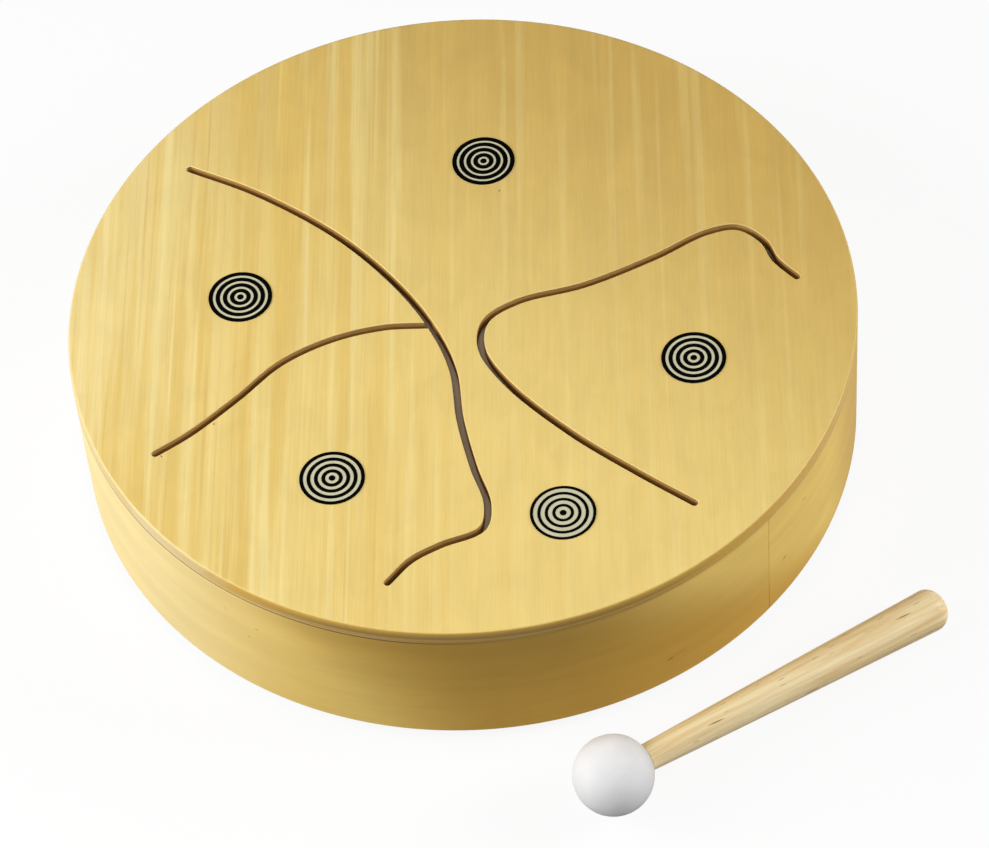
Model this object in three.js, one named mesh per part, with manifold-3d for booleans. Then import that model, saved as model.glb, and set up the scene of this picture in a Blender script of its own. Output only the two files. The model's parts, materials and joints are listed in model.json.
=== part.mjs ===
// Round slit drum with five sounding zones, its feet and its mallet.
// Millimetres, +Z up. The origin is the centre of the base board's underside.
import * as THREE from "three";
import { mergeVertices } from "three/addons/utils/BufferGeometryUtils.js";
import Module from "manifold-3d";

const wasm = await Module();
wasm.setup();

// Shell: two bent hoops in each other, a ring of sawn lining blocks at each end and a base board
const DRUM_RADIUS = 190;
const HOOP_HEIGHT = 71;
const OUTER_HOOP_THICKNESS = 3;
const INNER_HOOP_THICKNESS = 3;
const LINING_WIDTH = 14;
const LINING_HEIGHT = 14;
const LINING_BLOCKS = 8;
const BASE_THICKNESS = 5;
const GLUE_LINE = 0.3;
const SEAM_WIDTH = 0.4;
const OUTER_SEAM_ANGLE = THREE.MathUtils.degToRad(-45.3);

// Sounding board: one sheet, sawn by three slots into tongues
const BOARD_THICKNESS = 8;
const BOARD_EDGE_RADIUS = 2;
const SLOT_WIDTH = 3.6;
const SLOT_END_MARGIN = 2;
const ROOT_GAP = 0.3;

// Centre lines of the slots, seen from above
const LONG_SLOT = [
  [-128, 105],
  [-95, 85],
  [-57, 53],
  [-29, 17.5],
  [-14, -11],
  [-6.5, -36],
  [-5, -66],
  [-0.5, -95],
  [4.4, -117],
  [1, -131],
  [-19, -138.5],
  [-33, -145.5],
  [-44.5, -157],
];
const BRANCH_SLOT = [
  [-16, -7.6],
  [-38, -6.5],
  [-63, -11],
  [-88, -22.5],
  [-110, -42],
  [-133, -60.5],
  [-149.5, -70.5],
];
const HOOK_SLOT = [
  [162, 2.5],
  [153, 14.5],
  [148.5, 26.5],
  [137, 36.5],
  [121.5, 35],
  [95.4, 22.5],
  [60, 9],
  [27, 2.2],
  [11, -8],
  [8, -24],
  [18, -46],
  [46, -79.5],
  [76, -107],
  [100, -127],
];

// Ring marks on the sounding points, from the thickest lines to the thinnest
const MARK_RADIUS = 15.5;
const MARK_DOT_RADIUS = 1.6;
const MARK_RINGS = 4;
const MARK_FILM = 0.25;
const MARK_INK = 0.15;
const SOUNDING_POINTS = [
  { name: "back", at: [17, 93], line: 1.85 },
  { name: "left", at: [-106, 20], line: 1.7 },
  { name: "right", at: [108, -42], line: 1.55 },
  { name: "front_left", at: [-67, -94.5], line: 1.3 },
  { name: "front", at: [39, -126.5], line: 1.1 },
];

// Feet and their screws
const FOOT_COUNT = 4;
const FIRST_FOOT_ANGLE = THREE.MathUtils.degToRad(45);
const FOOT_HEIGHT = 6;
const FOOT_TOP_RADIUS = 9;
const FOOT_BOTTOM_RADIUS = 8;
const FOOT_EDGE_RADIUS = 1;
const FOOT_WEB = 2.5;
const SCREW_HEAD_RADIUS = 3.6;
const SCREW_HEAD_HEIGHT = 2.4;
const SCREW_SHANK_RADIUS = 1.6;
const SCREW_LENGTH = 16;
const SCREW_TIP = 3;
const SCREW_RECESS_WIDTH = 0.9;
const SCREW_RECESS_SPAN = 4;
const SCREW_RECESS_DEPTH = 1.3;
const SCREW_CLEARANCE = 0.3;

// Mallet, lying on the floor in front of the drum
const MALLET_LENGTH = 205;
const BALL_RADIUS = 19.25;
const SOCKET_DEPTH = 20;
const TENON_RADIUS = 4.7;
const TENON_CLEARANCE = 0.3;
const NECK_RADIUS = 6.75;
const BUTT_RADIUS = 10.5;
const BUTT_CROWN = 8.2;
const TAPER_POWER = 0.9;
const SEAT_LIP = 0.3;
const MALLET_DISTANCE = 26.6;
const MALLET_BEARING = THREE.MathUtils.degToRad(-77.45);
const MALLET_HEADING = THREE.MathUtils.degToRad(27.75);

// Faceting
const RING_SEGMENTS = 96;
const MARK_SEGMENTS = 24;
const FOOT_SEGMENTS = 24;
const SCREW_SEGMENTS = 16;
const MALLET_SEGMENTS = 32;
const ARC_STEPS = 4;
const SLOT_END_STEPS = 6;
const SLOT_STEP = 6;
const TAPER_STEPS = 8;
const BALL_STEPS = 14;
const OVERCUT = 1;
const WELD = 1e-3;

// Places that follow from the sizes
const innerHoopRadius = DRUM_RADIUS - OUTER_HOOP_THICKNESS - GLUE_LINE;
const liningRadius = innerHoopRadius - INNER_HOOP_THICKNESS - GLUE_LINE;
const freeRadius = liningRadius - LINING_WIDTH;
const footCircleRadius = liningRadius - LINING_WIDTH / 2;
const boardTop = HOOP_HEIGHT + BOARD_THICKNESS;
const screwHoleRadius = SCREW_SHANK_RADIUS + SCREW_CLEARANCE;

const MATERIALS = {
  board: { color: 0xe5cc86, roughness: 0.45 },
  shell: { color: 0xc9a85a, roughness: 0.4 },
  hiddenWood: { color: 0xcbb07a, roughness: 0.7 },
  base: { color: 0xd6bb80, roughness: 0.6 },
  mark: { color: 0xc8c8a5, roughness: 0.5 },
  foot: { color: 0x2a2a2a, roughness: 0.85 },
  screw: { color: 0xb9bcc0, roughness: 0.35, metalness: 0.9 },
  handle: { color: 0xe3c78c, roughness: 0.55 },
  ball: { color: 0xdcdcdc, roughness: 0.6 },
};

// A named mesh with its own material.
function piece(name, geometry, look) {
  const material = new THREE.MeshStandardMaterial({ metalness: 0, ...MATERIALS[look] });
  const mesh = new THREE.Mesh(geometry, material);
  mesh.name = name;
  return mesh;
}

// A closed geometry as a solid that can be cut.
function solid(geometry) {
  const loose = geometry.index ? geometry.toNonIndexed() : geometry;
  const bare = new THREE.BufferGeometry();
  bare.setAttribute("position", loose.getAttribute("position"));
  const welded = mergeVertices(bare, WELD);
  return new wasm.Manifold(
    new wasm.Mesh({
      numProp: 3,
      vertProperties: welded.getAttribute("position").array,
      triVerts: new Uint32Array(welded.index.array),
    }),
  );
}

// A cut solid as a geometry with flat faces.
function geometryOf(body) {
  const { vertProperties, triVerts, numProp } = body.getMesh();
  const welded = new THREE.BufferGeometry();
  welded.setAttribute("position", new THREE.BufferAttribute(vertProperties, numProp));
  welded.setIndex(new THREE.BufferAttribute(triVerts, 1));
  const faceted = welded.toNonIndexed();
  faceted.computeVertexNormals();
  return faceted;
}

// A turned body round +Z, from a profile of [radius, height] pairs that runs upwards outside.
function turned(profile, segments) {
  const points = profile.map(([radius, height]) => new THREE.Vector2(radius, height));
  return new THREE.LatheGeometry(points, segments).rotateX(Math.PI / 2);
}

// A flat outline raised from bottom by height. Each of its arcs falls into arcSegments.
function raised(shape, bottom, height, arcSegments) {
  const options = { depth: height, bevelEnabled: false, curveSegments: arcSegments / 2 };
  return new THREE.ExtrudeGeometry(shape, options).translate(0, 0, bottom);
}

// A quarter circle in a profile, as [radius, height] pairs, between two angles.
function arc(centreRadius, centreHeight, radius, fromAngle, toAngle) {
  return Array.from({ length: ARC_STEPS + 1 }, (_, i) => {
    const angle = THREE.MathUtils.lerp(fromAngle, toAngle, i / ARC_STEPS);
    return [centreRadius + radius * Math.cos(angle), centreHeight + radius * Math.sin(angle)];
  });
}

// A round hole's cutter, standing on bottom.
function drill([x, y], radius, bottom, height) {
  const bit = new THREE.CylinderGeometry(radius, radius, height, SCREW_SEGMENTS);
  return solid(bit.rotateX(Math.PI / 2).translate(x, y, bottom + height / 2));
}

// The outline of a curved strip between two angles, seen from above.
function curvedStrip(outerRadius, thickness, start, end) {
  const shape = new THREE.Shape();
  shape.absarc(0, 0, outerRadius, start, end, false);
  shape.absarc(0, 0, outerRadius - thickness, end, start, true);
  return shape;
}

// A strip bent to a ring, with a butt seam where its two ends meet.
function bentHoop(outerRadius, thickness, seamAngle) {
  const halfSeam = SEAM_WIDTH / 2 / outerRadius;
  const start = seamAngle + halfSeam;
  const end = seamAngle + 2 * Math.PI - halfSeam;
  const shape = curvedStrip(outerRadius, thickness, start, end);
  return raised(shape, 0, HOOP_HEIGHT, RING_SEGMENTS);
}

// One of the sawn blocks of a lining ring, with a glue line between it and the next.
function liningBlock(middleAngle, bottom) {
  const halfSpan = Math.PI / LINING_BLOCKS - GLUE_LINE / 2 / liningRadius;
  const start = middleAngle - halfSpan;
  const shape = curvedStrip(liningRadius, LINING_WIDTH, start, middleAngle + halfSpan);
  return raised(shape, bottom, LINING_HEIGHT, RING_SEGMENTS / LINING_BLOCKS);
}

function footPlaces() {
  return Array.from({ length: FOOT_COUNT }, (_, i) => {
    const angle = FIRST_FOOT_ANGLE + (i * 2 * Math.PI) / FOOT_COUNT;
    return [footCircleRadius * Math.cos(angle), footCircleRadius * Math.sin(angle)];
  });
}

// Hoops, base board and lining blocks. The bottom blocks' joints lie clear of the foot screws,
// and the top blocks' joints lie half a block further round.
function shell() {
  const group = new THREE.Group();
  const outerHoop = bentHoop(DRUM_RADIUS, OUTER_HOOP_THICKNESS, OUTER_SEAM_ANGLE);
  const innerSeam = OUTER_SEAM_ANGLE + Math.PI;
  const innerHoop = bentHoop(innerHoopRadius, INNER_HOOP_THICKNESS, innerSeam);
  group.add(piece("outer_hoop", outerHoop, "shell"));
  group.add(piece("inner_hoop", innerHoop, "hiddenWood"));

  const pilotDepth = SCREW_LENGTH - FOOT_WEB + SCREW_CLEARANCE;
  const pilots = footPlaces().map((place) =>
    drill(place, screwHoleRadius, -OVERCUT, OVERCUT + pilotDepth),
  );
  const drilled = (geometry) =>
    geometryOf(pilots.reduce((wood, pilot) => wood.subtract(pilot), solid(geometry)));
  const baseBoard = new THREE.CylinderGeometry(
    liningRadius,
    liningRadius,
    BASE_THICKNESS,
    RING_SEGMENTS,
  );
  baseBoard.rotateX(Math.PI / 2).translate(0, 0, BASE_THICKNESS / 2);
  group.add(piece("base_board", drilled(baseBoard), "base"));

  for (let i = 0; i < LINING_BLOCKS; i++) {
    const bottomAngle = FIRST_FOOT_ANGLE + (i * 2 * Math.PI) / LINING_BLOCKS;
    const bottomBlock = drilled(liningBlock(bottomAngle, BASE_THICKNESS));
    group.add(piece(`bottom_lining_${i + 1}`, bottomBlock, "hiddenWood"));
    const topAngle = bottomAngle + Math.PI / LINING_BLOCKS;
    const topBlock = liningBlock(topAngle, HOOP_HEIGHT - LINING_HEIGHT);
    group.add(piece(`top_lining_${i + 1}`, topBlock, "hiddenWood"));
  }
  return group;
}

// The slot pattern stretches with the board, so that its longest slot ends just inside the lining.
function patternScale() {
  const ends = [LONG_SLOT, BRANCH_SLOT, HOOK_SLOT].flatMap((slot) => [slot[0], slot.at(-1)]);
  const reach = Math.max(...ends.map(([x, y]) => Math.hypot(x, y)));
  return (freeRadius - SLOT_END_MARGIN - SLOT_WIDTH / 2) / reach;
}

function onBoard([x, y]) {
  return [x * patternScale(), y * patternScale()];
}

// A slot's outline: its centre line widened to both sides, with round ends.
function slotShape(points) {
  const places = points.map(onBoard).map(([x, y]) => new THREE.Vector3(x, y, 0));
  const line = new THREE.CatmullRomCurve3(places, false, "centripetal");
  const steps = Math.ceil(line.getLength() / SLOT_STEP);
  const outline = [];
  const addPoint = (along, turn) => {
    const point = line.getPointAt(along);
    const tangent = line.getTangentAt(along);
    const angle = Math.atan2(tangent.y, tangent.x) + turn;
    const x = point.x + (SLOT_WIDTH / 2) * Math.cos(angle);
    const y = point.y + (SLOT_WIDTH / 2) * Math.sin(angle);
    outline.push(new THREE.Vector2(x, y));
  };
  for (let i = 0; i <= steps; i++) {
    addPoint(i / steps, -Math.PI / 2);
  }
  for (let i = 1; i < SLOT_END_STEPS; i++) {
    addPoint(1, -Math.PI / 2 + (i * Math.PI) / SLOT_END_STEPS);
  }
  for (let i = steps; i >= 0; i--) {
    addPoint(i / steps, Math.PI / 2);
  }
  for (let i = 1; i < SLOT_END_STEPS; i++) {
    addPoint(0, Math.PI / 2 + (i * Math.PI) / SLOT_END_STEPS);
  }
  return new THREE.Shape(outline);
}

// The thin gap along a tongue's root, from one slot end to the next.
function rootShape(from, to) {
  const start = new THREE.Vector2(...onBoard(from));
  const end = new THREE.Vector2(...onBoard(to));
  const along = end.clone().sub(start).normalize();
  const across = new THREE.Vector2(-along.y, along.x).multiplyScalar(ROOT_GAP / 2);
  return new THREE.Shape([
    start.clone().sub(across),
    end.clone().sub(across),
    end.clone().add(across),
    start.clone().add(across),
  ]);
}

// The sheet, sawn through, falls into the board and three tongues, each found under its own mark.
function soundingBoard() {
  const group = new THREE.Group();
  const rimRadius = DRUM_RADIUS - BOARD_EDGE_RADIUS;
  const rimHeight = boardTop - BOARD_EDGE_RADIUS;
  const blank = turned(
    [
      [0, HOOP_HEIGHT],
      [DRUM_RADIUS, HOOP_HEIGHT],
      ...arc(rimRadius, rimHeight, BOARD_EDGE_RADIUS, 0, Math.PI / 2),
      [0, boardTop],
    ],
    RING_SEGMENTS,
  );
  const cuts = [
    slotShape(LONG_SLOT),
    slotShape(BRANCH_SLOT),
    slotShape(HOOK_SLOT),
    rootShape(LONG_SLOT[0], BRANCH_SLOT.at(-1)),
    rootShape(BRANCH_SLOT.at(-1), LONG_SLOT.at(-1)),
    rootShape(HOOK_SLOT.at(-1), HOOK_SLOT[0]),
  ];
  const sawCut = (shape) =>
    solid(raised(shape, HOOP_HEIGHT - OVERCUT, BOARD_THICKNESS + 2 * OVERCUT, RING_SEGMENTS));
  const sawn = cuts.reduce((sheet, shape) => sheet.subtract(sawCut(shape)), solid(blank));
  const boards = sawn.decompose();
  const boardUnder = (markName) => {
    const { at } = SOUNDING_POINTS.find(({ name }) => name === markName);
    const probe = drill(onBoard(at), MARK_DOT_RADIUS, HOOP_HEIGHT, BOARD_THICKNESS);
    return boards.find((board) => board.intersect(probe).volume() > 0);
  };
  group.add(piece("sounding_board", geometryOf(boardUnder("back")), "board"));
  for (const side of ["left", "front_left", "right"]) {
    group.add(piece(`tongue_${side}`, geometryOf(boardUnder(side)), "board"));
  }
  return group;
}

// A printed film disc: concentric ink rings of one line width stand up from it.
function ringMark({ name, at, line }) {
  const inkTop = MARK_FILM + MARK_INK;
  const pitch = (MARK_RADIUS - MARK_DOT_RADIUS) / MARK_RINGS;
  const profile = [
    [0, 0],
    [MARK_RADIUS, 0],
  ];
  for (let ring = MARK_RINGS; ring > 0; ring--) {
    const outside = MARK_DOT_RADIUS + ring * pitch;
    if (ring < MARK_RINGS) {
      profile.push([outside, MARK_FILM]);
    }
    profile.push([outside, inkTop], [outside - line, inkTop], [outside - line, MARK_FILM]);
  }
  profile.push([MARK_DOT_RADIUS, MARK_FILM], [MARK_DOT_RADIUS, inkTop], [0, inkTop]);
  const mark = piece(`mark_${name}`, turned(profile, MARK_SEGMENTS), "mark");
  mark.position.set(...onBoard(at), boardTop);
  return mark;
}

// A rubber foot with a counterbored hole, hanging from the height 0.
function footGeometry() {
  const wellRadius = SCREW_HEAD_RADIUS + SCREW_CLEARANCE;
  const edgeRadius = FOOT_BOTTOM_RADIUS - FOOT_EDGE_RADIUS;
  const edgeHeight = FOOT_EDGE_RADIUS - FOOT_HEIGHT;
  return turned(
    [
      [wellRadius, -FOOT_WEB],
      [wellRadius, -FOOT_HEIGHT],
      ...arc(edgeRadius, edgeHeight, FOOT_EDGE_RADIUS, -Math.PI / 2, 0),
      [FOOT_TOP_RADIUS, 0],
      [screwHoleRadius, 0],
      [screwHoleRadius, -FOOT_WEB],
      [wellRadius, -FOOT_WEB],
    ],
    FOOT_SEGMENTS,
  );
}

// A pan-head wood screw with a cross recess; its head's flat side lies at the height 0.
function screwGeometry() {
  const shank = SCREW_LENGTH - SCREW_TIP;
  const body = turned(
    [
      [0, -SCREW_HEAD_HEIGHT],
      [SCREW_HEAD_RADIUS * 0.6, -SCREW_HEAD_HEIGHT],
      [SCREW_HEAD_RADIUS, -SCREW_HEAD_HEIGHT / 2],
      [SCREW_HEAD_RADIUS, 0],
      [SCREW_SHANK_RADIUS, 0],
      [SCREW_SHANK_RADIUS, shank],
      [0, SCREW_LENGTH],
    ],
    SCREW_SEGMENTS,
  );
  let screw = solid(body);
  const recessBottom = SCREW_RECESS_DEPTH - SCREW_HEAD_HEIGHT;
  for (const turn of [0, Math.PI / 2]) {
    const bar = new THREE.BoxGeometry(
      SCREW_RECESS_SPAN,
      SCREW_RECESS_WIDTH,
      SCREW_RECESS_DEPTH + OVERCUT,
    );
    bar.translate(0, 0, recessBottom - (SCREW_RECESS_DEPTH + OVERCUT) / 2);
    screw = screw.subtract(solid(bar.rotateZ(turn)));
  }
  return geometryOf(screw);
}

function feet() {
  const group = new THREE.Group();
  footPlaces().forEach(([x, y], i) => {
    const foot = piece(`foot_${i + 1}`, footGeometry(), "foot");
    foot.position.set(x, y, 0);
    const screw = piece(`foot_screw_${i + 1}`, screwGeometry(), "screw");
    screw.position.set(x, y, -FOOT_WEB);
    group.add(foot, screw);
  });
  return group;
}

// The mallet's ball, centred on the height 0, with a flat seat and a blind socket at its top.
function ballGeometry(seatRadius, seatHeight) {
  const socketRadius = TENON_RADIUS + TENON_CLEARANCE;
  const seatAngle = Math.acos(seatRadius / BALL_RADIUS);
  const profile = [];
  for (let i = 0; i <= BALL_STEPS; i++) {
    const angle = THREE.MathUtils.lerp(-Math.PI / 2, seatAngle, i / BALL_STEPS);
    const radius = i === 0 ? 0 : BALL_RADIUS * Math.cos(angle);
    profile.push([radius, BALL_RADIUS * Math.sin(angle)]);
  }
  profile.push(
    [socketRadius, seatHeight],
    [socketRadius, seatHeight - SOCKET_DEPTH],
    [0, seatHeight - SOCKET_DEPTH],
  );
  return turned(profile, MALLET_SEGMENTS);
}

// The mallet's handle: a tenon, a shoulder at the neck, a slightly bellied taper and a round butt.
function handleGeometry(shoulder, end) {
  const tenonEnd = shoulder - SOCKET_DEPTH;
  const widest = end - BUTT_CROWN;
  const profile = [
    [0, tenonEnd],
    [TENON_RADIUS, tenonEnd],
    [TENON_RADIUS, shoulder],
  ];
  for (let i = 0; i <= TAPER_STEPS; i++) {
    const share = i / TAPER_STEPS;
    const radius = NECK_RADIUS + (BUTT_RADIUS - NECK_RADIUS) * share ** TAPER_POWER;
    profile.push([radius, THREE.MathUtils.lerp(shoulder, widest, share)]);
  }
  const crownSteps = 2 * ARC_STEPS;
  for (let i = 1; i <= crownSteps; i++) {
    const angle = (i * Math.PI) / 2 / crownSteps;
    const radius = i === crownSteps ? 0 : BUTT_RADIUS * Math.cos(angle);
    profile.push([radius, widest + BUTT_CROWN * Math.sin(angle)]);
  }
  return turned(profile, MALLET_SEGMENTS);
}

// The mallet rests on its ball and on its butt's widest ring.
function mallet() {
  const seatRadius = NECK_RADIUS + SEAT_LIP;
  const seatHeight = Math.sqrt(BALL_RADIUS ** 2 - seatRadius ** 2);
  const end = MALLET_LENGTH - BALL_RADIUS;
  const shoulder = seatHeight + TENON_CLEARANCE;
  const widest = end - BUTT_CROWN;
  const tilt =
    Math.asin(BALL_RADIUS / Math.hypot(widest, BUTT_RADIUS)) - Math.atan2(BUTT_RADIUS, widest);

  const group = new THREE.Group();
  const alongX = (geometry) => geometry.rotateY(Math.PI / 2);
  group.add(piece("mallet_ball", alongX(ballGeometry(seatRadius, seatHeight)), "ball"));
  group.add(piece("mallet_handle", alongX(handleGeometry(shoulder, end)), "handle"));

  const distance = DRUM_RADIUS + MALLET_DISTANCE + BALL_RADIUS;
  group.position.set(
    distance * Math.cos(MALLET_BEARING),
    distance * Math.sin(MALLET_BEARING),
    BALL_RADIUS - FOOT_HEIGHT,
  );
  group.rotation.set(0, tilt, MALLET_HEADING, "ZYX");
  return group;
}

const drum = new THREE.Group();
drum.add(shell(), soundingBoard(), feet(), mallet());
SOUNDING_POINTS.forEach((point) => drum.add(ringMark(point)));

export default drum;
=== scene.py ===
"""A round slit drum with five sounding zones, its feet and its mallet, dressed and lit.

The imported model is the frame. Each piece that shows is a fine surface, worked out as whole arrays
in the frame's metres, and stands for the node of its own name. Hidden nodes only get a finish.
Finishes are laid from shader nodes on the piece's own coordinates.
"""

import json
import logging
import math
from collections.abc import Sequence
from dataclasses import dataclass, replace
from enum import Enum
from typing import Any, NamedTuple

import bpy
import numpy as np
from mathutils import Euler, Matrix, Vector
from mathutils.geometry import delaunay_2d_cdt

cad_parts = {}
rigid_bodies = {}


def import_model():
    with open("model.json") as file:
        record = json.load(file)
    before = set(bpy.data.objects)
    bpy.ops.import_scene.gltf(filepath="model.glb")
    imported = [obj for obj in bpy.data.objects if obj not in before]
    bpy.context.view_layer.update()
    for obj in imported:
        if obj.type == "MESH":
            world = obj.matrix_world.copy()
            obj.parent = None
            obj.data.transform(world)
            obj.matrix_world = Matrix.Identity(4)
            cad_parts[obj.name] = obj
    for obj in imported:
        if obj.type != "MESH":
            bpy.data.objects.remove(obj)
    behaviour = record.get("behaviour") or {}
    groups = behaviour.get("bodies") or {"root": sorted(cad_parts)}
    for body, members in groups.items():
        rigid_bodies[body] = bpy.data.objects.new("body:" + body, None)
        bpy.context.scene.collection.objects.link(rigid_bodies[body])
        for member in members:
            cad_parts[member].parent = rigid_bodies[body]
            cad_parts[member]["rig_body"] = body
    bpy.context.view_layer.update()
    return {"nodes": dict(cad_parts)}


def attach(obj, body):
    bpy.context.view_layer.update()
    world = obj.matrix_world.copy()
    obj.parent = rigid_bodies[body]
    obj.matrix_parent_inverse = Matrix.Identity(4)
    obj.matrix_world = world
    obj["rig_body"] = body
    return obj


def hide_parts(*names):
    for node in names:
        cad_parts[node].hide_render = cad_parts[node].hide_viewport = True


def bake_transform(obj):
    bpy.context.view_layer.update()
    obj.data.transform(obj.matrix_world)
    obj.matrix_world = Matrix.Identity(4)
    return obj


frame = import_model()

Array = np.ndarray
Colour = tuple[int, int, int]
Sizes = tuple[float, float, float]
Line = tuple[tuple[float, float], ...]
Socket = bpy.types.NodeSocket

log = logging.getLogger("slit_drum")

MM = 0.001
WELD = 1e-6
CREASE_DEGREES = 40
PARALLEL = 1e-12


# Shapes


def unit(rows: Array) -> Array:
    """The rows' directions, each of length 1."""
    return rows / np.linalg.norm(rows, axis=-1, keepdims=True)


def leftwards(rows: Array) -> Array:
    """Flat vectors turned left by a quarter."""
    return np.stack([-rows[..., 1], rows[..., 0]], axis=-1)


def cross(first: Array, second: Array) -> Array:
    """The cross product of flat vectors, a_x b_y - a_y b_x."""
    return first[..., 0] * second[..., 1] - first[..., 1] * second[..., 0]


def on_circle(angle: Array) -> Array:
    """The unit circle's points at angles."""
    return np.stack([np.cos(angle), np.sin(angle)], axis=-1)


def linked(name: str, data: Any) -> bpy.types.Object:
    """A new object with some data, in the scene."""
    new = bpy.data.objects.new(name, data)
    bpy.context.scene.collection.objects.link(new)
    return new


def eased(corners: Array, cuts: Sequence[float], steps: int = 5, closed: bool = False) -> Array:
    """Rounds the corners of a flat line.

    A corner c between the unit directions a and b becomes the circle's arc that touches both sides
    at the distance cut: ((1-t)^2 (c + a cut) + 2 w t (1-t) c + t^2 (c + b cut)) over the sum of its
    weights, where w is the sine of half the angle between a and b. One more point on each side,
    0.6 cut further out, keeps the flat next to the arc flat in shading.

    Args:
        corners: The line's points, one row each.
        cuts: How far from each corner its arc starts. The open ends have none.
        steps: The points on each arc.
        closed: Whether the last point joins the first.

    Returns:
        The points of the rounded line.
    """
    middle = corners if closed else corners[1:-1]
    before = np.roll(corners, 1, axis=0) if closed else corners[:-2]
    after = np.roll(corners, -1, axis=0) if closed else corners[2:]
    cut = np.asarray(cuts, float)[:, None]
    back, ahead = unit(before - middle), unit(after - middle)
    weight = np.sqrt(np.clip((1 - (back * ahead).sum(1)) / 2, 0, 1))[:, None, None]
    t = np.linspace(0, 1, steps)[None, :, None]
    first, second, third = (1 - t) ** 2, 2 * weight * t * (1 - t), t**2
    start, corner, end = (p[:, None] for p in (middle + back * cut, middle, middle + ahead * cut))
    arcs = (first * start + second * corner + third * end) / (first + second + third)
    supports = (middle + side * cut * 1.6 for side in (back, ahead))
    lead, trail = (p[:, None] for p in supports)
    rounded = np.concatenate([lead, arcs, trail], axis=1).reshape(-1, 2)
    return rounded if closed else np.concatenate([corners[:1], rounded, corners[-1:]])


@dataclass
class Skin:
    """A surface in the making.

    Each face has four corner numbers, and a triangle says its last corner twice. finish is the
    number of each face's finish, and grain is each point's place in the piece's own pattern.
    """

    points: Array
    faces: Array
    finish: Array
    grain: Array

    @classmethod
    def sheet(cls, points: Array, grain: Array | None = None, finish: Array | int = 0) -> "Skin":
        """Skins a grid of points. Face (i, j) joins (i, j), (i, j+1), (i+1, j+1) and (i+1, j).

        Args:
            points: The grid, as rows by columns by three.
            grain: The pattern's places on the same grid, or None where they are the points.
            finish: One finish number for the sheet, or one for each row of faces.

        Returns:
            The sheet, facing the side from which its columns run to the right and its rows up.
        """
        rows, columns = points.shape[:2]
        number = np.arange(rows * columns).reshape(rows, columns)
        corners = [number[:-1, :-1], number[:-1, 1:], number[1:, 1:], number[1:, :-1]]
        per_row = np.broadcast_to(np.asarray(finish, int), (rows - 1,))
        pattern = points if grain is None else grain
        return cls(
            points.reshape(-1, 3),
            np.stack(corners, axis=-1).reshape(-1, 4),
            np.repeat(per_row, columns - 1),
            pattern.reshape(-1, 3),
        )

    @classmethod
    def turned(cls, profile: Array, segments: int, finish: Array | int = 0) -> "Skin":
        """Turns a profile round +Z: point (i, j) is (r_i cos a_j, r_i sin a_j, z_i).

        Args:
            profile: Rows of radius and height that run upwards on the outside.
            segments: The facets round the axis.
            finish: One finish number, or one for each row of faces.

        Returns:
            The turned skin.
        """
        angle = np.linspace(0, 2 * np.pi, segments + 1)
        radius, height = profile[:, :1], profile[:, 1:]
        flat = radius * np.cos(angle), radius * np.sin(angle), height + 0 * angle
        return cls.sheet(np.stack(flat, axis=-1), finish=finish)

    def placed(self, place: Matrix) -> "Skin":
        """Sets the skin at a place and keeps its grain where it was on the piece."""
        matrix = np.array(place)
        return replace(self, points=self.points @ matrix[:3, :3].T + matrix[:3, 3])

    def welded(self) -> "Skin":
        """Merges the points that lie within a micrometre, which closes seams and poles."""
        rounded = np.round(self.points / WELD).astype(np.int64)
        _, kept, number = np.unique(rounded, axis=0, return_index=True, return_inverse=True)
        faces = number.reshape(-1)[self.faces]
        return replace(self, points=self.points[kept], faces=faces, grain=self.grain[kept])

    def to_object(self, name: str, finishes: Sequence["Finish"]) -> bpy.types.Object:
        """Puts the welded skin into a mesh.

        Args:
            name: The new piece's name.
            finishes: The finishes that the faces' numbers stand for.

        Returns:
            The piece, at the origin, with its place in its mesh.
        """
        skin = self.welded()
        double = skin.faces == np.roll(skin.faces, -1, axis=1)
        quads = double.sum(1) == 0
        triangles = double.sum(1) == 1
        threes = skin.faces[triangles][~double[triangles]].reshape(-1, 3)
        mesh = bpy.data.meshes.new(name)
        mesh.from_pydata(skin.points.tolist(), [], skin.faces[quads].tolist() + threes.tolist())
        for finish in finishes:
            mesh.materials.append(finish.material())
        number = np.concatenate([skin.finish[quads], skin.finish[triangles]])
        mesh.polygons.foreach_set("material_index", number.astype(np.int32))
        mesh.polygons.foreach_set("use_smooth", np.ones(len(number), bool))
        mesh.set_sharp_from_angle(angle=math.radians(CREASE_DEGREES))
        pattern = mesh.attributes.new("grain", "FLOAT_VECTOR", "POINT")
        pattern.data.foreach_set("vector", skin.grain.astype(np.float32).ravel())
        mesh.validate()
        return linked(name, mesh)


def joined(*skins: Skin) -> Skin:
    """Several skins as one."""
    counts = np.cumsum([0] + [len(skin.points) for skin in skins[:-1]])
    return Skin(
        np.concatenate([skin.points for skin in skins]),
        np.concatenate([skin.faces + count for skin, count in zip(skins, counts)]),
        np.concatenate([skin.finish for skin in skins]),
        np.concatenate([skin.grain for skin in skins]),
    )


def set_down(skin: Skin, node: str, stuff: str, *finishes: "Finish") -> bpy.types.Object:
    """Makes a skin the piece that stands for a node.

    Args:
        skin: The surface.
        node: The node it stands for.
        stuff: What the piece is made of, for its name.
        finishes: The finishes that the faces' numbers stand for.

    Returns:
        The piece, not yet riding on a body.
    """
    piece = skin.to_object(f"{node}_{stuff}", finishes)
    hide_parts(node)
    log.info("%s: %d points, %d faces", piece.name, len(piece.data.vertices), len(piece.data.polygons))
    return piece


def body_of(node: str) -> str:
    """The body that a node belongs to."""
    return frame["nodes"][node]["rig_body"]


def dress(node: str, finish: "Finish") -> None:
    """Gives a node that stays as it is its finish."""
    materials = frame["nodes"][node].data.materials
    materials.clear()
    materials.append(finish.material())
    log.info("%s: dressed in %s", node, finish.name)


# Finishes


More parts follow.
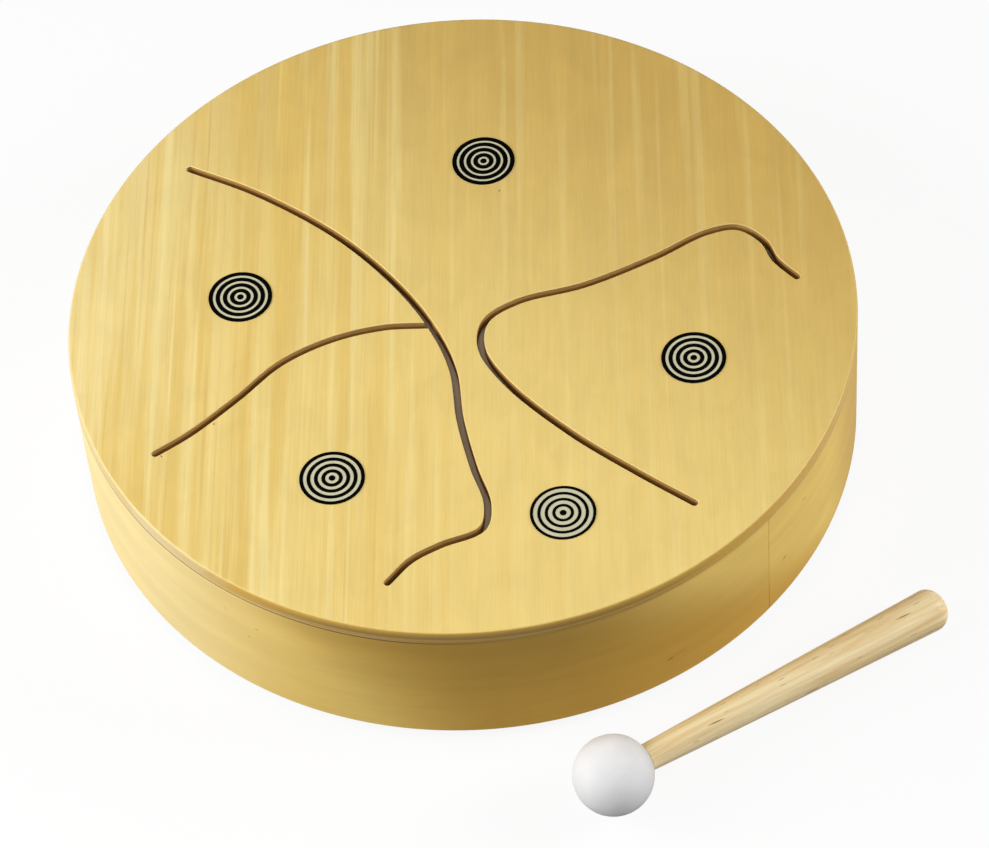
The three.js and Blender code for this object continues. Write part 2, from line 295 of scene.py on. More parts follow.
def paint(colour: Colour) -> tuple[float, float, float, float]:
    """A screen colour of 0 to 255 as the linear colour that a shader takes."""
    share = np.asarray(colour, float) / 255
    linear = np.where(share <= 0.04045, share / 12.92, ((share + 0.055) / 1.055) ** 2.4)
    return (*linear.tolist(), 1.0)


class Stroke(NamedTuple):
    """A dark stroke in a veneer: its middle, its half length and half width, its tilt and strength."""

    at: tuple[float, float]
    reach: float
    width: float
    tilt: float
    strength: float


class Recipe:
    """The shader nodes of one material or world, laid one after another."""

    def __init__(self, owner: Any) -> None:
        """Starts from the owner's two first nodes, its shader and its output."""
        owner.use_nodes = True
        self.tree = owner.node_tree
        self.output = next(node for node in self.tree.nodes if node.type.startswith("OUTPUT"))
        self.shader = next(node for node in self.tree.nodes if node != self.output)

    def lay(self, kind: str, inputs: dict[Any, Any], **settings: Any) -> bpy.types.Node:
        """Lays a node.

        Args:
            kind: The node's type, without its ShaderNode.
            inputs: What its sockets take, by name or number: a value, or another node's socket.
            settings: The node's own settings.

        Returns:
            The node.
        """
        node = self.tree.nodes.new("ShaderNode" + kind)
        for name, value in settings.items():
            setattr(node, name, value)
        for name, value in inputs.items():
            self.feed(node.inputs[name], value)
        return node

    def feed(self, socket: Socket, value: Any) -> None:
        """Links a socket to another one, or sets it."""
        if isinstance(value, Socket):
            self.tree.links.new(value, socket)
        else:
            socket.default_value = value

    def surface(self, **inputs: Any) -> None:
        """Feeds the shader. A name's underscores stand for the spaces in the socket's name."""
        for name, value in inputs.items():
            self.feed(self.shader.inputs[name.replace("_", " ")], value)

    def place(self) -> Socket:
        """Each point's own coordinates, in metres."""
        return self.lay("TexCoord", {}).outputs["Object"]

    def grain(self) -> Socket:
        """Each point's place in the piece's own pattern, in metres."""
        return self.lay("Attribute", {}, attribute_name="grain").outputs["Vector"]

    def turned(self, place: Socket, degrees: float) -> Socket:
        """The place in a pattern that is turned clockwise, as seen from above."""
        turn = (0, 0, math.radians(degrees))
        return self.lay("Mapping", {"Vector": place, "Rotation": turn}).outputs[0]

    def part(self, place: Socket, axis: str) -> Socket:
        """One coordinate of a place, X, Y or Z."""
        return self.lay("SeparateXYZ", {0: place}).outputs[axis]

    def scaled(self, place: Socket, factors: Sizes) -> Socket:
        """A place whose coordinates are multiplied."""
        return self.lay("VectorMath", {0: place, 1: factors}, operation="MULTIPLY").outputs[0]

    def sized(self, place: Socket, sizes: Sizes) -> Socket:
        """A place counted in cells of a size in millimetres each way."""
        return self.scaled(place, tuple(1000 / size for size in sizes))

    def length(self, place: Socket) -> Socket:
        """How far a place is from the origin."""
        return self.lay("VectorMath", {0: place}, operation="LENGTH").outputs["Value"]

    def noise(
        self, place: Socket, sizes: Sizes, detail: float = 2, rough: float = 0.5, bent: float = 0
    ) -> Socket:
        """Noise of 0 to 1 whose cells have a size in millimetres each way."""
        inputs = {"Vector": self.sized(place, sizes), "Scale": 1.0, "Detail": detail}
        return self.lay("TexNoise", inputs | {"Roughness": rough, "Distortion": bent}).outputs[0]

    def flecks(self, place: Socket, sizes: Sizes, reach: float, share: float) -> Socket:
        """Scattered soft spots, 1 at their middle.

        Args:
            place: The pattern's place.
            sizes: The cells' size in millimetres each way. A cell has one spot or none.
            reach: The spot's radius as a share of the cell.
            share: The share of cells that have a spot.

        Returns:
            The spots' strength.
        """
        inputs = {"Vector": self.sized(place, sizes), "Scale": 1.0}
        cells = self.lay("TexVoronoi", inputs)
        spot = self.span(cells.outputs["Distance"], reach, reach * 0.4)
        chosen = self.lay("SeparateColor", {0: cells.outputs["Color"]}).outputs[0]
        return self.times(spot, self.maths("LESS_THAN", chosen, share))

    def stroke(self, place: Socket, stroke: Stroke) -> Socket:
        """One soft stroke in the pattern's X and Y: an ellipse, strongest at its middle.

        Args:
            place: The pattern's place.
            stroke: The stroke.

        Returns:
            The stroke's strength.
        """
        middle = (stroke.at[0] * MM, stroke.at[1] * MM, 0)
        inputs = {
            "Vector": self.lay("VectorMath", {0: place, 1: middle}, operation="SUBTRACT").outputs[0],
            "Rotation": (0, 0, math.radians(-stroke.tilt)),
        }
        own = self.sized(self.lay("Mapping", inputs).outputs[0], (stroke.reach, stroke.width, 1e6))
        return self.span(self.length(own), 1, 0.3, 0, stroke.strength)

    def span(
        self, value: Socket, low: float, high: float, bottom: float = 0, top: float = 1
    ) -> Socket:
        """Takes a value smoothly from bottom at low to top at high."""
        if low > high:
            low, high, bottom, top = high, low, top, bottom
        inputs = {"Value": value, "From Min": low, "From Max": high, "To Min": bottom, "To Max": top}
        return self.lay("MapRange", inputs, interpolation_type="SMOOTHSTEP").outputs[0]

    def dulled(self, noise: Socket, low: float, high: float) -> Socket:
        """A roughness that goes from low to high with a noise."""
        return self.span(noise, 0.3, 0.7, low, high)

    def maths(self, operation: str, first: Any, second: Any) -> Socket:
        """One step of arithmetic."""
        return self.lay("Math", {0: first, 1: second}, operation=operation).outputs[0]

    def times(self, first: Any, second: Any) -> Socket:
        """The product of two values."""
        return self.maths("MULTIPLY", first, second)

    def plus(self, first: Any, second: Any) -> Socket:
        """The sum of two values."""
        return self.maths("ADD", first, second)

    def mixed(self, share: Any, first: Any, second: Any, way: str = "MIX") -> Socket:
        """Two colours in one, each a colour of 0 to 255 or another node's socket."""
        colours = [paint(c) if isinstance(c, tuple) else c for c in (first, second)]
        inputs = {0: share, 6: colours[0], 7: colours[1]}
        return self.lay("Mix", inputs, data_type="RGBA", blend_type=way).outputs[2]

    def faded(self, first: Any, second: Any, value: Socket, low: float, high: float) -> Socket:
        """Passes from one colour to another as a value goes from low to high."""
        return self.mixed(self.span(value, low, high), first, second)

    def toned(self, colour: Any, value: Any, low: float, high: float) -> Socket:
        """Darkens or lightens a colour, by low where value is 0 and by high where it is 1."""
        factor = self.plus(self.times(value, high - low), low)
        grey = self.lay("CombineColor", {0: factor, 1: factor, 2: factor}).outputs[0]
        return self.mixed(1.0, colour, grey, "MULTIPLY")

    def clouded(
        self, colour: Any, noise: Socket, low: float, high: float, margin: float = 0.25
    ) -> Socket:
        """Tones a colour by low up to the noise's lowest margin and by high from its highest one."""
        return self.toned(colour, self.span(noise, margin, 1 - margin), low, high)

    def raised(self, height: Socket, depth: float, below: Any = None) -> Socket:
        """A bump that is depth millimetres high, on top of another bump."""
        inputs = {"Height": height, "Distance": depth * MM, "Strength": 1.0}
        if below is not None:
            inputs["Normal"] = below
        return self.lay("Bump", inputs).outputs[0]


@dataclass(frozen=True)
class Finish:
    """What a piece is dressed in. Each kind of finish lays its own shader nodes."""

    name: str
    slot: str

    def lay(self, recipe: Recipe) -> None:
        """Lays the finish's nodes."""
        raise NotImplementedError

    def material(self) -> bpy.types.Material:
        """The finish's one material, laid at its first use."""
        known = bpy.data.materials.get(self.name)
        if known is not None:
            return known
        new = bpy.data.materials.new(self.name)
        self.lay(Recipe(new))
        return new


@dataclass(frozen=True)
class FaceVeneer(Finish):
    """The board's satin face veneer, with its plies on the rim and raw walls in the slots.

    Heights and radii are in millimetres. Every pattern lies on the flat board, so that it stays as
    it is where a tongue bends.
    """

    pale: Colour = (238, 210, 129)
    # The pale and golden tones are the veneer's own, with painted light falling off from the front left
    # to the back right.
    golden: Colour = (203, 168, 88)
    # A painted sheen towards the left edge.
    light: Colour = (243, 221, 152)
    tan: Colour = (229, 194, 105)
    # Cream is the colour of pale streaks in the grain, and of the painted highlight on the arrises.
    cream: Colour = (245, 225, 154)
    line: Colour = (214, 172, 96)
    speck: Colour = (116, 84, 44)
    # The slot wall's colours grow browner downwards, as painted shade deep in the slot.
    wall_top: Colour = (204, 160, 92)
    wall_core: Colour = (152, 108, 48)
    wall_foot: Colour = (118, 80, 34)
    # Painted light on the rim's plies at the left.
    edge_pale: Colour = (224, 202, 148)
    edge_brown: Colour = (210, 166, 66)
    foot_pale: Colour = (232, 208, 146)
    ply_painted_shade: Colour = (112, 86, 36)
    joint: Colour = (112, 80, 40)
    gloss: float = 0.35
    grain_turn: float = 3.8
    board_foot: float = 71
    board_top: float = 79
    rim_radius: float = 186
    # Painted shade on the front of the rim, in rows of start height, full height and share.
    shades: tuple[Sizes, ...] = ((78.4, 74.4, 0.64), (74.2, 73.8, -0.4), (72.8, 72.4, 0.24))

    def lay(self, recipe: Recipe) -> None:
        """Lays the face, its arrises with a painted cream highlight, and its edges."""
        place = recipe.grain()
        grain = recipe.turned(place, self.grain_turn)
        height = recipe.part(place, "Z")
        face = self._face(recipe, grain)
        on_rim = self._on_rim(recipe, place)
        edge = recipe.mixed(on_rim, self._wall(recipe, place), self._edge(recipe, place))
        top = self.board_top
        # Painted highlight: each slot's eased arris is cream, half as strong on the outer rim.
        arris = recipe.span(height, (top - 0.5) * MM, (top - 0.25) * MM)
        arris_highlight = recipe.times(arris, recipe.span(on_rim, 0, 1, 1, 0.5))
        edged = recipe.mixed(arris_highlight, edge, self.cream)
        on_face = recipe.span(height, (top - 0.27) * MM, (top - 0.02) * MM)
        fibre = recipe.noise(grain, (0.5, 14, 3), 3, 0.6)
        silk = recipe.noise(grain, (22, 34, 20), 2, 0.5, 0.4)
        recipe.surface(
            Base_Color=recipe.mixed(on_face, edged, face),
            Roughness=recipe.dulled(fibre, 0.42, 0.52),
            Normal=recipe.raised(silk, 0.08, recipe.raised(fibre, 0.01)),
            Specular_IOR_Level=self.gloss,
        )

    def _face(self, recipe: Recipe, grain: Socket) -> Socket:
        """The face's colour: soft streaks along the grain, strongest on the left. Painted light makes it
        paler towards the front left and more golden towards the back right, over the veneer's own tone,
        and a painted sheen lightens the left edge.

        Args:
            recipe: The recipe.
            grain: The place in the veneer, whose Y runs along the grain.

        Returns:
            The colour's socket.
        """
        across, along = recipe.part(grain, "X"), recipe.part(grain, "Y")
        # Painted light: paler towards the front left, more golden towards the back right, over the
        # veneer's own tone.
        back_right = recipe.plus(recipe.times(across, 0.6), recipe.times(along, 0.8))
        toned = recipe.faded(self.pale, self.golden, back_right, -0.07, 0.19)
        # Painted sheen: lighter towards the left edge.
        streaked = recipe.faded(toned, self.light, across, -0.09, -0.19)
        left = recipe.span(across, 0.04, -0.12, 0.25, 1)
        shifted = recipe.turned(grain, 0.6)
        broad = recipe.span(recipe.noise(grain, (10, 320, 40), 3, 0.5, 0.45), 0.4, 0.66, 0, 0.85)
        pale = recipe.span(recipe.noise(grain, (6, 360, 40), 2, 0.5, 0.3), 0.51, 0.7, 0, 0.75)
        dark = recipe.span(recipe.noise(shifted, (2.8, 200, 40), 2, 0.5, 0.2), 0.57, 0.75, 0, 0.4)
        for lines, colour in ((broad, self.tan), (pale, self.cream), (dark, self.line)):
            streaked = recipe.mixed(recipe.times(lines, left), streaked, colour)
        hair = recipe.times(recipe.noise(shifted, (1.3, 110, 40), 2, 0.6), left)
        fine = recipe.toned(streaked, recipe.span(hair, 0.15, 0.6), 1.025, 0.965)
        mottled = recipe.clouded(fine, recipe.noise(grain, (14, 30, 20), 3, 0.55, 0.7), 0.97, 1.03, 0.3)
        fibred = recipe.clouded(mottled, recipe.noise(grain, (0.7, 34, 5), 3, 0.65), 0.965, 1.03)
        specks = recipe.flecks(grain, (17, 24, 40), 0.04, 0.14)
        return recipe.mixed(recipe.times(specks, 0.7), fibred, self.speck)

    def _on_rim(self, recipe: Recipe, place: Socket) -> Socket:
        """1 on the board's outer edge, 0 on the walls of its slots."""
        radius = recipe.length(recipe.scaled(place, (1, 1, 0)))
        return recipe.span(radius, (self.rim_radius - 1) * MM, self.rim_radius * MM)

    def _height(self, recipe: Recipe, place: Socket) -> Socket:
        """The height over the board's foot, a little wavy as sawn plies are."""
        wave = recipe.times(recipe.noise(place, (25, 25, 60), 2), 0.4 * MM)
        over_foot = recipe.maths("SUBTRACT", recipe.part(place, "Z"), (self.board_foot + 0.2) * MM)
        return recipe.plus(over_foot, wave)

    def _edge(self, recipe: Recipe, place: Socket) -> Socket:
        """The rim's colour: golden brown plies all round, with painted light that makes them pale at the
        left.

        The lowest ply is a pale line at the left and front, over the dark line of the glue joint.

        Args:
            recipe: The recipe.
            place: The point's place on the board.

        Returns:
            The colour's socket.
        """
        across = recipe.part(place, "X")
        patches = recipe.span(recipe.noise(place, (40, 40, 30), 3, 0.6), 0.35, 0.65, -0.02, 0.02)
        uneven = recipe.plus(across, patches)
        # Painted light: the upper plies are pale towards the left.
        upper = recipe.faded(self.edge_brown, self.edge_pale, uneven, -0.1, -0.18)
        lower = recipe.faded(upper, self.foot_pale, across, -0.01, -0.07)
        height = self._height(recipe, place)
        plies = recipe.faded(lower, upper, height, 1.1 * MM, 1.4 * MM)
        foot = self.board_foot
        at_foot = recipe.span(recipe.part(place, "Z"), (foot + 0.5) * MM, foot * MM)
        shown = recipe.times(at_foot, recipe.span(across, 0, -0.05, 0.2, 0.9))
        jointed = recipe.mixed(shown, plies, self.joint)
        toned = recipe.clouded(jointed, recipe.noise(place, (2.5, 2.5, 0.45), 3, 0.6), 0.9, 1.05)
        # Painted shade darkens the rim's front plies.
        return recipe.mixed(self._ply_dark(recipe, place), toned, self.ply_painted_shade)

    def _ply_dark(self, recipe: Recipe, place: Socket) -> Socket:
        """The share of painted shade in the edge's plies at the front, with one pale ply low in it.

        Each of the shades says the height where it starts, the lower height where it is full, and
        the share that it adds there.

        Args:
            recipe: The recipe.
            place: The point's place on the board.

        Returns:
            The share's socket.
        """
        height, dark = recipe.part(place, "Z"), 0.0
        for start, full, share in self.shades:
            dark = recipe.plus(dark, recipe.span(height, start * MM, full * MM, 0, share))
        return recipe.times(dark, recipe.span(recipe.part(place, "Y"), -0.15, -0.18))

    def _wall(self, recipe: Recipe, place: Socket) -> Socket:
        """The colour of a slot's wall: its plies' own colours, browner towards the foot as painted shade
        deep in the slot, with saw marks.
        """
        height = self._height(recipe, place)
        # Painted shade: the wall grows browner towards its foot.
        core = recipe.faded(self.wall_foot, self.wall_core, height, 1.8 * MM, 3.2 * MM)
        plies = recipe.faded(core, self.wall_top, height, 4.4 * MM, 5.8 * MM)
        return recipe.clouded(plies, recipe.noise(place, (3, 3, 0.5), 3, 0.6), 0.86, 1.08)


@dataclass(frozen=True)
class ShellVeneer(Finish):
    """Veneer whose grain runs round a bent hoop, under satin lacquer."""

    wood: Colour = (245, 210, 118)
    # Painted shade on the front of the hoop.
    shaded_front: Colour = (214, 170, 79)
    # A painted sheen towards the left.
    light: Colour = (244, 221, 158)
    # Painted shade towards the right end.
    brown: Colour = (214, 176, 94)
    joint: Colour = (112, 80, 40)
    pore: Colour = (104, 72, 34)
    roughness: float = 0.58
    gloss: float = 0.08
    height: float = 71
    strokes: tuple[Stroke, ...] = ()

    def lay(self, recipe: Recipe) -> None:
        """Lays the faint bands, the fibres and a few pores along the hoop, and the glue joint on top.

        Painted shade makes the wood deeper in colour at the front, where (0.445 - 7 z) x - 0.98 y is
        high, which is further right at the bottom than at the top; there it is darker towards the top and
        lighter towards the bottom, where light from the floor is painted. A painted sheen makes it
        lighter at the left, and painted shade makes it browner at the right.
        """
        grain, place = recipe.grain(), recipe.place()
        across, along, height = (recipe.part(place, axis) for axis in "XYZ")
        lean = recipe.maths("SUBTRACT", 0.445, recipe.times(height, 7))
        frontal = recipe.plus(recipe.times(across, lean), recipe.times(along, -0.98))
        # Painted shade at the front, darker towards the top and lighter towards the bottom as painted
        # light from the floor.
        shaded_front = recipe.toned(self.shaded_front, recipe.span(height, 0, self.height * MM), 1.08, 0.84)
        ground = recipe.faded(self.wood, shaded_front, frontal, 0.15, 0.188)
        # Painted sheen: lighter towards the left.
        ground = recipe.faded(ground, self.light, across, -0.08, -0.165)
        # Painted shade: browner towards the right end.
        ground = recipe.faded(ground, self.brown, across, 0.164, 0.186)
        banded = recipe.clouded(ground, recipe.noise(grain, (300, 12, 14), 3, 0.5, 0.3), 0.95, 1.02, 0.3)
        silk = recipe.noise(grain, (45, 22, 20), 3, 0.5, 0.5)
        silky = recipe.clouded(banded, silk, 0.975, 1.02, 0.3)
        fibre = recipe.noise(grain, (30, 0.6, 3), 3, 0.65)
        fibred = recipe.clouded(silky, fibre, 0.965, 1.025)
        pores = recipe.times(recipe.flecks(grain, (26, 5, 10), 0.09, 0.12), 0.5)
        for stroke in self.strokes:
            pores = recipe.maths("MAXIMUM", pores, recipe.stroke(grain, stroke))
        pored = recipe.mixed(pores, fibred, self.pore)
        at_joint = recipe.span(height, (self.height - 0.7) * MM, (self.height - 0.3) * MM)
        shown = recipe.times(at_joint, recipe.span(across, 0.02, -0.05, 0.3, 0.9))
        recipe.surface(
            Base_Color=recipe.mixed(shown, pored, self.joint),
            Roughness=recipe.dulled(fibre, self.roughness - 0.03, self.roughness + 0.05),
            Normal=recipe.raised(silk, 0.06, recipe.raised(fibre, 0.01)),
            Specular_IOR_Level=self.gloss,
        )


@dataclass(frozen=True)
class RawWood(Finish):
    """Unlacquered wood inside and underneath, its grain along Y."""

    wood: Colour = (205, 178, 128)
    dark: Colour = (176, 146, 98)
    cells: Sizes = (6, 120, 6)

    def lay(self, recipe: Recipe) -> None:
        """Lays broad bands and fine fibres."""
        place = recipe.place()
        bands = recipe.noise(place, self.cells, 3, 0.6, 0.3)
        banded = recipe.faded(self.wood, self.dark, bands, 0.35, 0.7)
        fibre = recipe.noise(place, tuple(size / 9 for size in self.cells), 3, 0.65)
        recipe.surface(
            Base_Color=recipe.clouded(banded, fibre, 0.9, 1.07),
            Roughness=recipe.dulled(fibre, 0.6, 0.75),
            Normal=recipe.raised(fibre, 0.04),
        )


@dataclass(frozen=True)
class Print(Finish):
    """A printed film: its ground or its ink, faintly uneven."""

    colour: Colour
    roughness: float
    gloss: float = 0.5

    def lay(self, recipe: Recipe) -> None:
        """Lays the print's faint clouds and its slight orange peel."""
        place = recipe.place()
        clouds = recipe.noise(place, (5, 5, 5), 3, 0.6)
        peel = recipe.noise(place, (0.5, 0.5, 0.5), 2, 0.5)
        recipe.surface(
            Base_Color=recipe.clouded(self.colour, clouds, 0.95, 1.05),
            Roughness=recipe.dulled(clouds, self.roughness - 0.05, self.roughness + 0.06),
            Normal=recipe.raised(peel, 0.008),
            Specular_IOR_Level=self.gloss,
        )


@dataclass(frozen=True)
class Rubber(Finish):
    """Moulded rubber with a fine dull skin."""

    colour: Colour
    roughness: float
    gloss: float = 0.5
    glow: float = 0
    depth: float = 30

    def lay(self, recipe: Recipe) -> None:
        """Lays the skin's clouds and its fine tooth, and lets light into pale rubber."""
        grain = recipe.grain()
        clouds = recipe.noise(grain, (9, 9, 9), 3, 0.55)
        tooth = recipe.noise(grain, (0.35, 0.35, 0.35), 2, 0.6)
        recipe.surface(
            Base_Color=recipe.clouded(self.colour, clouds, 0.97, 1.02),
            Roughness=recipe.dulled(tooth, self.roughness - 0.06, self.roughness + 0.06),
            Normal=recipe.raised(tooth, 0.02),
            Specular_IOR_Level=self.gloss,
            Subsurface_Weight=self.glow,
            Subsurface_Radius=(1, 1, 1),
            Subsurface_Scale=self.depth * MM,
        )


@dataclass(frozen=True)
class TurnedWood(Finish):
    """The handle's turned wood, with dark pores along its axis."""

    wood: Colour = (250, 231, 184)
    dark: Colour = (230, 196, 136)
    pore: Colour = (112, 66, 30)
    gloss: float = 0.3

    def lay(self, recipe: Recipe) -> None:
        """Lays growth bands, fibres, long pores and faint turning marks along X."""
        grain = recipe.grain()
        bands = recipe.noise(grain, (110, 4, 4), 3, 0.55, 0.3)
        banded = recipe.faded(self.wood, self.dark, bands, 0.35, 0.7)
        fibre = recipe.noise(grain, (16, 0.5, 0.5), 3, 0.65)
        fibred = recipe.clouded(banded, fibre, 0.94, 1.04)
        short = recipe.flecks(grain, (10, 1.2, 1.2), 0.26, 0.26)
        tilted = recipe.turned(grain, 3)
        long = recipe.flecks(tilted, (26, 2.3, 2.3), 0.25, 0.22)
        pores = recipe.maths("MAXIMUM", recipe.times(short, 0.6), long)
        turning = recipe.noise(grain, (0.5, 90, 90), 2, 0.6)
        recipe.surface(
            Base_Color=recipe.mixed(recipe.times(pores, 0.8), fibred, self.pore),
            Roughness=recipe.dulled(fibre, 0.44, 0.56),
            Normal=recipe.raised(turning, 0.01, recipe.raised(fibre, 0.02)),
            Specular_IOR_Level=self.gloss,
        )


@dataclass(frozen=True)
class Steel(Finish):
    """Zinc-plated steel with faint scuffs."""

    colour: Colour = (186, 188, 190)

    def lay(self, recipe: Recipe) -> None:
        """Lays the plating's clouds and scuffs."""
        place = recipe.place()
        clouds = recipe.noise(place, (1.2, 1.2, 1.2), 3, 0.6)
        recipe.surface(
            Base_Color=recipe.clouded(self.colour, clouds, 0.85, 1.05),
            Roughness=recipe.dulled(clouds, 0.26, 0.42),
            Normal=recipe.raised(clouds, 0.01),
            Metallic=1.0,
        )


FACE = FaceVeneer("satin_face_veneer", "board_wood")
OUTER_VENEER = ShellVeneer(
    "satin_shell_veneer",
    "shell_wood",
    strokes=(
        Stroke((12.2, 28), 2.2, 0.6, 24, 0.75),
        Stroke((1132, 17), 2.8, 0.6, 4, 0.8),
        Stroke((1137.5, 18), 5, 0.4, 6, 0.45),
        Stroke((931, 50), 1.6, 0.5, 0, 0.5),
        Stroke((926, 41), 1.4, 0.45, 0, 0.4),
        Stroke((914, 55), 1.2, 0.5, 0, 0.4),
    ),
)
INNER_VENEER = ShellVeneer(
    "inner_hoop_veneer",
    "inner_wood",
    wood=(214, 186, 130),
    shaded_front=(204, 174, 118),
    light=(218, 192, 138),
    brown=(206, 176, 120),
    roughness=0.6,
)
LINING_WOOD = RawWood("lining_wood", "inner_wood")
BASE_PLY = RawWood("base_ply", "base_wood", (240, 206, 168), (222, 186, 146), (14, 160, 14))
FILM = Print("ring_mark_film", "mark_film", (206, 202, 168), 0.5)
INK = Print("ring_mark_ink", "mark_film", (6, 5, 4), 0.7, gloss=0.01)
FOOT_RUBBER = Rubber("foot_rubber_skin", "foot_rubber", (40, 40, 41), 0.75)
BALL_RUBBER = Rubber("ball_rubber_skin", "ball_rubber", (236, 236, 238), 0.6, gloss=0.2, glow=1)
HANDLE_WOOD = TurnedWood("turned_handle_wood", "handle_wood")
SCREW_STEEL = Steel("plated_screw_steel", "screw_steel")


# The drum's sub-assemblies


@dataclass(frozen=True)
class BentHoop:
    """A strip bent to a ring, whose two ends meet in a butt seam. Sizes in millimetres."""

    node: str
    radius: float
    finish: Finish
    seam_turn: float
    thickness: float = 3
    height: float = 71
    seam_width: float = 0.16
    edge_radius: float = 0.2
    end_ease: float = 0.1
    segments: int = 480

    def skin(self) -> Skin:
        """Carries the strip's section round the ring.

        Point (i, j) is ((R - d_i) cos a_j, (R - d_i) sin a_j, z_i), for a section of depths d and
        heights z that goes up outside and down inside. At both ends the section shrinks a little,
        which eases the seam's edges, and then to its middle, which closes the end.

        Returns:
            The strip's skin, whose grain is (length round the ring, height, depth).
        """
        box = np.array([[0, 0], [0, self.height], [self.thickness, self.height], [self.thickness, 0]])
        section = eased(box.astype(float), [self.edge_radius] * 4, closed=True)
        section = np.roll(section, 1, axis=0)
        section = np.concatenate([section, section[:1]])
        middle = np.array([self.thickness, self.height]) / 2
        ease = self.end_ease
        shrunk = middle + (section - middle) * (1 - ease / middle)
        half_seam = self.seam_width / 2 / self.radius
        start = math.radians(self.seam_turn) + half_seam
        end = start + 2 * math.pi - 2 * half_seam
        inner = np.linspace(start + ease / self.radius, end - ease / self.radius, self.segments + 1)
        angle = np.concatenate([[start, start], inner, [end, end]])
        share = np.zeros(len(angle), int)
        share[[1, -2]] = 1
        share[[0, -1]] = 2
        shapes = np.stack([section, shrunk, np.broadcast_to(middle, section.shape)])
        depth, height = shapes[share].transpose(2, 1, 0)
        radius = self.radius - depth
        points = np.stack([radius * np.cos(angle), radius * np.sin(angle), height], axis=-1)
        round_ring = np.broadcast_to(self.radius * (angle - start), depth.shape)
        grain = np.stack([round_ring, height, depth], axis=-1)
        return Skin.sheet(points * MM, grain * MM)

    def build(self) -> None:
        """Makes the hoop and sets it on its body."""
        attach(set_down(self.skin(), self.node, "veneer", self.finish), body_of(self.node))


@dataclass(frozen=True)
class Shell:
    """Two bent hoops in each other, rings of lining blocks and the base board."""

    outer: BentHoop = BentHoop("outer_hoop", 190, OUTER_VENEER, -45.3)
    inner: BentHoop = BentHoop("inner_hoop", 186.7, INNER_VENEER, 134.7)
    lining_blocks: int = 8

    def build(self) -> None:
        """Makes the hoops, and dresses the blocks and the base board."""
        self.outer.build()
        self.inner.build()
        for number in range(1, self.lining_blocks + 1):
            dress(f"top_lining_{number}", LINING_WOOD)
            dress(f"bottom_lining_{number}", LINING_WOOD)
        dress("base_board", BASE_PLY)


@dataclass(frozen=True)
class Slot:
    """A sawn slot: a smooth line through points, widened to both sides, with round ends.

    The outline runs with the wood on its left: forward along the line's left side, round the end,
    back along the right side and round the start.
    """

    points: Array
    width: float
    step: float = 1.5
    fineness: int = 60
    end_steps: int = 12

    def line(self) -> tuple[Array, Array]:
        """Runs a smooth line through the points.

        Between two points it is the centripetal Catmull-Rom cubic, whose knots lie the square root
        of the points' distance apart. The line is then spaced evenly by length.

        Returns:
            The line's points and its unit directions.
        """
        ends = 2 * self.points[0] - self.points[1], 2 * self.points[-1] - self.points[-2]
        knots = np.concatenate([ends[:1], self.points, ends[1:]])
        p0, p1, p2, p3 = (knots[i : len(knots) - 3 + i, None] for i in range(4))
        pairs = ((p0, p1), (p1, p2), (p2, p3))
        gap0, gap1, gap2 = (np.linalg.norm(b - a, axis=-1, keepdims=True) ** 0.5 for a, b in pairs)
        out = ((p1 - p0) / gap0 - (p2 - p0) / (gap0 + gap1) + (p2 - p1) / gap1) * gap1
        into = ((p2 - p1) / gap1 - (p3 - p1) / (gap1 + gap2) + (p3 - p2) / gap2) * gap1
        t = np.linspace(0, 1, self.fineness + 1)[None, :, None]
        square, cube = 3 * (p2 - p1) - 2 * out - into, 2 * (p1 - p2) + out + into
        fine = (p1 + out * t + square * t**2 + cube * t**3).reshape(-1, 2)
        aim = (out + 2 * square * t + 3 * cube * t**2).reshape(-1, 2)
        run = np.concatenate([[0], np.cumsum(np.linalg.norm(np.diff(fine, axis=0), axis=1))])
        even = np.linspace(0, run[-1], math.ceil(run[-1] / self.step) + 1)
        place = np.stack([np.interp(even, run, fine[:, k]) for k in (0, 1)], axis=-1)
        aimed = np.stack([np.interp(even, run, aim[:, k]) for k in (0, 1)], axis=-1)
        return place, unit(aimed)

    def outline(self) -> tuple[Array, int]:
        """Widens the line: its sides lie half the width to the left and right of it.

        Returns:
            The outline's points, and the number of edges along one side.
        """
        place, aim = self.line()
        left = leftwards(aim) * self.width / 2
        turn = np.linspace(np.pi / 2, -np.pi / 2, self.end_steps + 1)[1:-1]
        heading = np.arctan2(aim[[0, -1], 1], aim[[0, -1], 0])
        caps = [
            place[at] + self.width / 2 * on_circle(a)
            for at, a in ((-1, turn + heading[1]), (0, turn + heading[0] + np.pi))
        ]
        parts = [place + left, caps[0], (place - left)[::-1], caps[1]]
        return np.concatenate(parts), len(place) - 1


def crossings(outline: Array, starts: Array, ends: Array) -> Array:
    """Finds where segments cross a closed outline.

    Segment k is start + t (end - start) and edge i is p_i + s (p_(i+1) - p_i). Both shares are
    solved for every pair at once, by Cramer's rule.

    Args:
        outline: The outline's points.
        starts: The segments' first points.
        ends: The segments' last points.

    Returns:
        Rows of the outline's edge plus share, and the segment's number plus share, in the
        outline's order.
    """
    edge, run = (np.roll(outline, -1, axis=0) - outline)[:, None], (ends - starts)[None]
    gap = starts[None] - outline[:, None]
    scale = cross(edge, run)
    scale = np.where(np.abs(scale) < PARALLEL, PARALLEL, scale)
    s, t = cross(gap, run) / scale, cross(gap, edge) / scale
    i, k = np.nonzero((s >= 0) & (s < 1) & (t >= 0) & (t < 1))
    return np.stack([i + s[i, k], k + t[i, k]], axis=-1)


